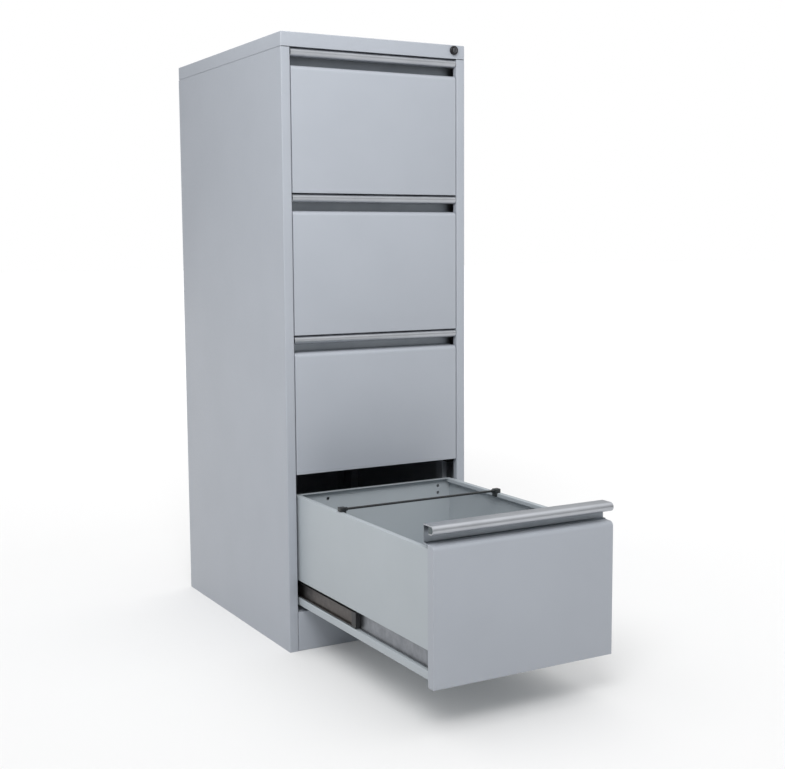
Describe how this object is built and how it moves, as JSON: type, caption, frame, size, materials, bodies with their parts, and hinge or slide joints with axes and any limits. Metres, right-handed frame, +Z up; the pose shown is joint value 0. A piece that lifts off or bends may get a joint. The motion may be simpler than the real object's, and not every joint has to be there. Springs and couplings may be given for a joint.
{
  "type": "filing cabinet",
  "caption": "Upright steel filing cabinet with full-extension drawers, full-width recessed handles, a central lock and a sliding divider rod in each drawer.",
  "frame": {"origin": "on the floor, at the centre of the cabinet's footprint", "axes": "+Z up, -Y towards the front where the drawers open, +X to the right seen from the front"},
  "size_m": [0.452, 1.19, 1.33],
  "materials": {
    "body_paint": "satin powder coat, light grey",
    "front_paint": "satin powder coat, light grey",
    "drawer_paint": "satin powder coat, light grey",
    "handle_metal": "satin anodised",
    "cap_plastic": "matt light grey",
    "rail_steel": "zinc plated",
    "middle_rail_steel": "dark zinc plated",
    "black_plastic": "matt black",
    "rod_finish": "black coated",
    "lock_metal": "worn bright",
    "lock_black": "black oxide"
  },
  "bodies": {
    "cabinet": {"top_cover": "body_paint", "left_side_panel": "body_paint", "right_side_panel": "body_paint", "back_panel": "body_paint", "plinth_front": "body_paint", "base_frame": "body_paint", "bottom_pan": "body_paint", "top_stiffener": "body_paint", "slide_uprights": "body_paint", "cabinet_rails": "rail_steel", "rail_screws": "rail_steel", "lock_housing": "lock_black", "lock_nut": "rail_steel", "lock_bar_guides": "black_plastic"},
    "lock_plug": {"lock_plug": "lock_metal", "lock_cam": "rail_steel", "lock_cam_pin": "rail_steel"},
    "lock_bar": {"lock_bar": "rail_steel", "lock_bar_head": "rail_steel"},
    "drawer_1": {"drawer_1_front": "front_paint", "drawer_1_handle": "handle_metal", "drawer_1_handle_plugs": "cap_plastic", "drawer_1_bottom": "drawer_paint", "drawer_1_side_walls": "drawer_paint", "drawer_1_end_walls": "drawer_paint", "drawer_1_rails": "rail_steel"},
    "middle_rails_1": {"drawer_1_middle_rails": "middle_rail_steel", "drawer_1_slide_stops": "black_plastic"},
    "cross_rod_1": {"drawer_1_cross_rod": "rod_finish"},
    "drawer_2": {"drawer_2_front": "front_paint", "drawer_2_handle": "handle_metal", "drawer_2_handle_plugs": "cap_plastic", "drawer_2_bottom": "drawer_paint", "drawer_2_side_walls": "drawer_paint", "drawer_2_end_walls": "drawer_paint", "drawer_2_rails": "rail_steel"},
    "middle_rails_2": {"drawer_2_middle_rails": "middle_rail_steel", "drawer_2_slide_stops": "black_plastic"},
    "cross_rod_2": {"drawer_2_cross_rod": "rod_finish"},
    "drawer_3": {"drawer_3_front": "front_paint", "drawer_3_handle": "handle_metal", "drawer_3_handle_plugs": "cap_plastic", "drawer_3_bottom": "drawer_paint", "drawer_3_side_walls": "drawer_paint", "drawer_3_end_walls": "drawer_paint", "drawer_3_rails": "rail_steel"},
    "middle_rails_3": {"drawer_3_middle_rails": "middle_rail_steel", "drawer_3_slide_stops": "black_plastic"},
    "cross_rod_3": {"drawer_3_cross_rod": "rod_finish"},
    "drawer_4": {"drawer_4_front": "front_paint", "drawer_4_handle": "handle_metal", "drawer_4_handle_plugs": "cap_plastic", "drawer_4_bottom": "drawer_paint", "drawer_4_side_walls": "drawer_paint", "drawer_4_end_walls": "drawer_paint", "drawer_4_rails": "rail_steel"},
    "middle_rails_4": {"drawer_4_middle_rails": "middle_rail_steel", "drawer_4_slide_stops": "black_plastic"},
    "cross_rod_4": {"drawer_4_cross_rod": "rod_finish"}
  },
  "joints": [
    {"name": "lock_turn", "type": "hinge", "parent": "cabinet", "child": "lock_plug", "pos_m": [0.197, -0.31, 1.318], "axis": [0, 1, 0], "range_deg": [0, 90]},
    {"name": "lock_bar_slide", "type": "slide", "parent": "cabinet", "child": "lock_bar", "axis": [0, 0, 1], "range_m": [0, 0.008]},
    {"name": "drawer_1_slide", "type": "slide", "parent": "cabinet", "child": "drawer_1", "axis": [0, -1, 0], "range_m": [0, 0.57]},
    {"name": "middle_rails_1_slide", "type": "slide", "parent": "cabinet", "child": "middle_rails_1", "axis": [0, -1, 0], "range_m": [0, 0.285]},
    {"name": "cross_rod_1_slide", "type": "slide", "parent": "drawer_1", "child": "cross_rod_1", "axis": [0, -1, 0], "range_m": [-0.18, 0.32]},
    {"name": "drawer_2_slide", "type": "slide", "parent": "cabinet", "child": "drawer_2", "axis": [0, -1, 0], "range_m": [0, 0.57]},
    {"name": "middle_rails_2_slide", "type": "slide", "parent": "cabinet", "child": "middle_rails_2", "axis": [0, -1, 0], "range_m": [0, 0.285]},
    {"name": "cross_rod_2_slide", "type": "slide", "parent": "drawer_2", "child": "cross_rod_2", "axis": [0, -1, 0], "range_m": [-0.18, 0.32]},
    {"name": "drawer_3_slide", "type": "slide", "parent": "cabinet", "child": "drawer_3", "axis": [0, -1, 0], "range_m": [0, 0.57]},
    {"name": "middle_rails_3_slide", "type": "slide", "parent": "cabinet", "child": "middle_rails_3", "axis": [0, -1, 0], "range_m": [0, 0.285]},
    {"name": "cross_rod_3_slide", "type": "slide", "parent": "drawer_3", "child": "cross_rod_3", "axis": [0, -1, 0], "range_m": [-0.18, 0.32]},
    {"name": "drawer_4_slide", "type": "slide", "parent": "cabinet", "child": "drawer_4", "axis": [0, -1, 0], "range_m": [-0.57, 0]},
    {"name": "middle_rails_4_slide", "type": "slide", "parent": "cabinet", "child": "middle_rails_4", "axis": [0, -1, 0], "range_m": [-0.285, 0]},
    {"name": "cross_rod_4_slide", "type": "slide", "parent": "drawer_4", "child": "cross_rod_4", "axis": [0, -1, 0], "range_m": [-0.18, 0.32]}
  ],
  "couplings": [
    {"joint": "lock_turn", "follows": "lock_bar_slide", "rad_per_m": 196.35},
    {"joint": "middle_rails_1_slide", "follows": "drawer_1_slide", "ratio": 0.5},
    {"joint": "middle_rails_2_slide", "follows": "drawer_2_slide", "ratio": 0.5},
    {"joint": "middle_rails_3_slide", "follows": "drawer_3_slide", "ratio": 0.5},
    {"joint": "middle_rails_4_slide", "follows": "drawer_4_slide", "ratio": 0.5}
  ]
}
